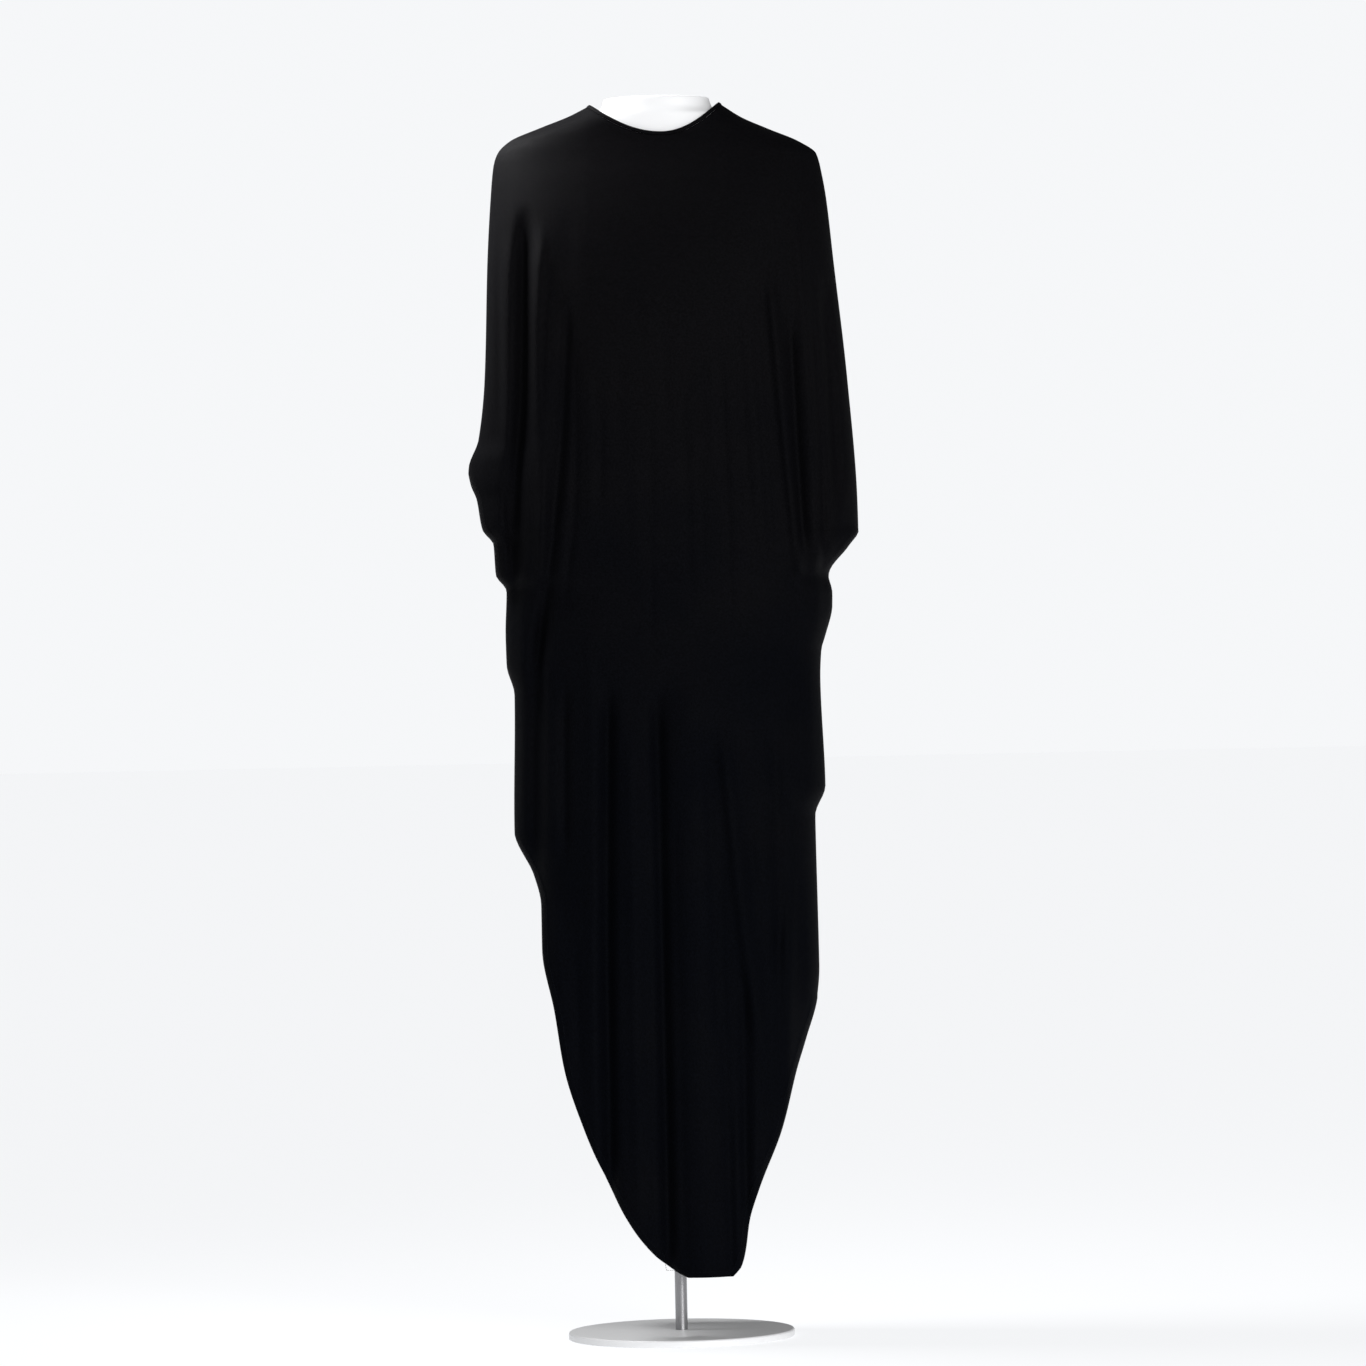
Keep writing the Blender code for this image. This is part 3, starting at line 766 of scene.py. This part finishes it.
class Nodes:
    """A small helper that adds and links shader nodes."""

    def __init__(self, name):
        self.material = bpy.data.materials.new(name)
        self.material.use_nodes = True
        self.tree = self.material.node_tree
        self.shader = self.tree.nodes["Principled BSDF"]

    def add(self, kind, inputs=None, **settings):
        """Add a node, set its properties, and link or set its inputs."""
        node = self.tree.nodes.new(kind)
        for key, value in settings.items():
            setattr(node, key, value)
        for key, value in (inputs or {}).items():
            self.set(node, key, value)
        return node

    def set(self, node, key, value):
        """Link a socket to an input, or set the input's own value."""
        if isinstance(value, bpy.types.NodeSocket):
            self.tree.links.new(value, node.inputs[key])
        else:
            node.inputs[key].default_value = value

    def math(self, operation, first, second=0.0):
        """Add a Math node and return its result."""
        return self.add("ShaderNodeMath", {0: first, 1: second}, operation=operation).outputs[0]

    def blend(self, share, first, second):
        """Mix two colours by a share."""
        mix = self.add("ShaderNodeMix", data_type="RGBA")
        self.set(mix, 0, share)
        self.set(mix, 6, first)
        self.set(mix, 7, second)
        return mix.outputs[2]


def jersey_material(name, upper, lower, sheen):
    """Make fine knit jersey: deep black, with painted shade that makes it darker and a little bluer lower
    down, and knit loops in its bump.
    """
    nodes = Nodes(name)
    place = nodes.add("ShaderNodeTexCoord")
    spot = place.outputs["Object"]
    knit_places = nodes.add("ShaderNodeSeparateXYZ", {0: place.outputs["UV"]})
    across = nodes.math("DIVIDE", knit_places.outputs[0], KNIT_WALE)
    down = nodes.math("DIVIDE", knit_places.outputs[1], KNIT_COURSE)
    loop_side = nodes.math("ABSOLUTE", nodes.math("SUBTRACT", nodes.math("FRACT", across), 0.5))
    slanted = nodes.math("ADD", down, nodes.math("MULTIPLY", loop_side, KNIT_SLANT))
    loops = nodes.math("SINE", nodes.math("MULTIPLY", slanted, 2 * math.pi))
    wales = nodes.math("COSINE", nodes.math("MULTIPLY", loop_side, 2 * math.pi))
    knit = nodes.math("ADD", nodes.math("MULTIPLY", loops, 0.35), nodes.math("MULTIPLY", wales, -0.65))
    fuzz = nodes.add("ShaderNodeTexNoise", {"Vector": spot, "Scale": 900.0, "Detail": 3.0})
    relief = nodes.math("ADD", nodes.math("MULTIPLY", knit, 0.5), fuzz.outputs[0])
    bump = nodes.add("ShaderNodeBump", {"Height": relief, "Strength": 0.35, "Distance": 0.0003})
    cloud = nodes.add("ShaderNodeTexNoise", {"Vector": spot, "Scale": 7.0, "Detail": 4.0})
    height = nodes.add("ShaderNodeSeparateXYZ", {0: spot})
    # painted shade: from 1.25 m down to 0.55 m above the floor the colour blends towards the darker,
    # bluer lower one
    painted_shade_fall = nodes.add(
        "ShaderNodeMapRange",
        {"Value": height.outputs[2], "From Min": 1.25, "From Max": 0.55, "To Min": 0.0, "To Max": 1.0},
    )
    mottle = nodes.add(
        "ShaderNodeMapRange",
        {"Value": cloud.outputs[0], "From Min": 0.3, "From Max": 0.7, "To Min": -0.25, "To Max": 0.25},
    )
    share = nodes.math("ADD", painted_shade_fall.outputs[0], mottle.outputs[0])
    tone = nodes.blend(share, upper, lower)
    grain = nodes.add("ShaderNodeTexNoise", {"Vector": spot, "Scale": 420.0, "Detail": 2.0})
    light = nodes.add(
        "ShaderNodeMapRange",
        {"Value": grain.outputs[0], "From Min": 0.3, "From Max": 0.7, "To Min": 0.7, "To Max": 1.3},
    )
    speckled = nodes.add("ShaderNodeVectorMath", {0: tone, 1: light.outputs[0]}, operation="MULTIPLY")
    nodes.set(nodes.shader, "Base Color", speckled.outputs[0])
    rough = nodes.add(
        "ShaderNodeMapRange",
        {"Value": cloud.outputs[0], "From Min": 0.3, "From Max": 0.7, "To Min": 0.62, "To Max": 0.74},
    )
    nodes.set(nodes.shader, "Roughness", rough.outputs[0])
    nodes.set(nodes.shader, "Normal", bump.outputs[0])
    nodes.set(nodes.shader, "Specular IOR Level", 0.02)
    nodes.set(nodes.shader, "Sheen Weight", sheen)
    nodes.set(nodes.shader, "Sheen Roughness", 0.4)
    nodes.set(nodes.shader, "Sheen Tint", (0.75, 0.75, 0.78, 1.0))
    return nodes.material


def plain_material(name, colour, variation, roughness, scale, bump_distance, metallic=0.0, brushed=False):
    """Make a moulded, painted or brushed finish with slight unevenness in colour and gloss."""
    nodes = Nodes(name)
    place = nodes.add("ShaderNodeTexCoord")
    vector = place.outputs["Object"]
    if brushed:
        stretch = nodes.add("ShaderNodeMapping", {"Vector": vector, "Scale": (1.0, 1.0, 0.04)})
        vector = stretch.outputs[0]
    cloud = nodes.add("ShaderNodeTexNoise", {"Vector": vector, "Scale": scale, "Detail": 4.0})
    fine = nodes.add("ShaderNodeTexNoise", {"Vector": vector, "Scale": scale * 30, "Detail": 2.0})
    darker = tuple(channel * (1 - variation) for channel in colour[:3]) + (1.0,)
    nodes.set(nodes.shader, "Base Color", nodes.blend(cloud.outputs[0], colour, darker))
    rough = nodes.add(
        "ShaderNodeMapRange",
        {"Value": fine.outputs[0], "From Min": 0.3, "From Max": 0.7,
         "To Min": roughness - 0.05, "To Max": roughness + 0.05},
    )
    nodes.set(nodes.shader, "Roughness", rough.outputs[0])
    bump = nodes.add(
        "ShaderNodeBump", {"Height": fine.outputs[0], "Strength": 0.3, "Distance": bump_distance}
    )
    nodes.set(nodes.shader, "Normal", bump.outputs[0])
    nodes.set(nodes.shader, "Metallic", metallic)
    return nodes.material


def make_stage():
    """Make the pale floor, which runs on to the pale surroundings without an edge."""
    nodes = Nodes("floor_finish")
    nodes.set(nodes.shader, "Base Color", FLOOR_COLOUR)
    nodes.set(nodes.shader, "Roughness", 1.0)
    nodes.set(nodes.shader, "Specular IOR Level", 0.0)
    nodes.set(nodes.shader, "Emission Color", SURROUND)
    nodes.set(nodes.shader, "Emission Strength", FLOOR_GLOW)
    mesh = bpy.data.meshes.new("floor")
    corners = [
        (-FLOOR_REACH, -FLOOR_REACH, 0), (FLOOR_REACH, -FLOOR_REACH, 0),
        (FLOOR_REACH, FLOOR_REACH, 0), (-FLOOR_REACH, FLOOR_REACH, 0),
    ]
    mesh.from_pydata(corners, [], [(0, 1, 2, 3)])
    floor = bpy.data.objects.new("floor", mesh)
    bpy.context.scene.collection.objects.link(floor)
    mesh.materials.append(nodes.material)


def make_sun(name, toward, strength, spread_degrees, colour):
    """Make a broad soft light that shines towards a direction."""
    lamp = bpy.data.lights.new(name, "SUN")
    lamp.energy = strength
    lamp.angle = math.radians(spread_degrees)
    lamp.color = colour
    item = bpy.data.objects.new(name, lamp)
    item.rotation_mode = "QUATERNION"
    item.rotation_quaternion = Vector(toward).to_track_quat("-Z", "Y")
    bpy.context.scene.collection.objects.link(item)


def make_panel_light(name, place, aim, width, power):
    """Make a square soft light at a place, aimed at a point."""
    lamp = bpy.data.lights.new(name, "AREA")
    lamp.energy = power
    lamp.size = width
    item = bpy.data.objects.new(name, lamp)
    item.location = place
    item.rotation_mode = "QUATERNION"
    item.rotation_quaternion = (Vector(aim) - Vector(place)).to_track_quat("-Z", "Y")
    bpy.context.scene.collection.objects.link(item)


def make_lights():
    """Make the pale surroundings, which light the kaftan less than they show, and broad lights."""
    bpy.context.scene.view_settings.view_transform = "Standard"
    world = bpy.data.worlds.new("studio")
    bpy.context.scene.world = world
    world.use_nodes = True
    tree = world.node_tree
    shown = tree.nodes["Background"]
    shown.inputs[0].default_value = SURROUND
    shown.inputs[1].default_value = 1.0
    glow = tree.nodes.new("ShaderNodeBackground")
    glow.inputs[0].default_value = SURROUND
    glow.inputs[1].default_value = WORLD_LIGHT
    rays = tree.nodes.new("ShaderNodeLightPath")
    either = tree.nodes.new("ShaderNodeMixShader")
    tree.links.new(rays.outputs["Is Camera Ray"], either.inputs[0])
    tree.links.new(glow.outputs[0], either.inputs[1])
    tree.links.new(shown.outputs[0], either.inputs[2])
    tree.links.new(either.outputs[0], tree.nodes["World Output"].inputs[0])
    make_sun(
        "front_light", FRONT_LIGHT_TOWARD, FRONT_LIGHT_STRENGTH, FRONT_LIGHT_SPREAD,
        FRONT_LIGHT_COLOUR,
    )
    make_panel_light("window_light", WINDOW_PLACE, WINDOW_AIM, WINDOW_WIDTH, WINDOW_POWER)


def make_camera():
    """Make the camera at the photograph's angle, from the front with its slight roll."""
    data = bpy.data.cameras.new("camera")
    width = PHOTO_PIXELS * MM_PER_PIXEL * MM
    data.sensor_width = SENSOR
    data.lens = SENSOR * CAMERA_DISTANCE / width
    data.clip_end = 200.0
    camera = bpy.data.objects.new("camera", data)
    camera.location = CAMERA_CENTRE + Vector((0.0, -CAMERA_DISTANCE, 0.0))
    camera.rotation_mode = "XYZ"
    camera.rotation_euler = (math.pi / 2, CAMERA_ROLL, 0.0)
    bpy.context.scene.collection.objects.link(camera)
    bpy.context.scene.camera = camera


make_camera()
make_lights()
make_stage()

# painted shade: the kaftan and its stitching take darker, bluer colours lower down
jersey = jersey_material("jersey_knit", JERSEY_UPPER, JERSEY_LOWER_SHADED, JERSEY_SHEEN)
thread = jersey_material("stitch_thread", THREAD_UPPER, THREAD_LOWER_SHADED, THREAD_SHEEN)
form_finish = plain_material("form_plastic", (0.86, 0.865, 0.875, 1.0), 0.03, 0.5, 6.0, 0.00005)
pole_finish = plain_material("pole_steel", (0.36, 0.36, 0.37, 1.0), 0.12, 0.36, 60.0, 0.00003, 0.9, True)
base_finish = plain_material("base_paint", (0.84, 0.845, 0.855, 1.0), 0.03, 0.42, 9.0, 0.00005)

front = make_panel("front", jersey)
back = make_panel("back", jersey)
binding = make_neck_binding(jersey)
front_stitches = make_stitches("front", thread)
back_stitches = make_stitches("back", thread)
make_form(form_finish)
form_bottom = NECK_POINT_HEIGHT - FORM_TORSO[-1].drop
make_turned(
    "pole_tube",
    [(POLE_RADIUS, BASE_THICKNESS + PIECE_GAP), (POLE_RADIUS, form_bottom - PIECE_GAP)],
    pole_finish, "pole",
)
lower_corner = rounded_edge(BASE_RADIUS, 0.0, BASE_LOWER_EDGE, True)
upper_corner = rounded_edge(BASE_RADIUS, BASE_THICKNESS, BASE_EDGE, False)
make_turned("base_plate", lower_corner + upper_corner, base_finish, "base")
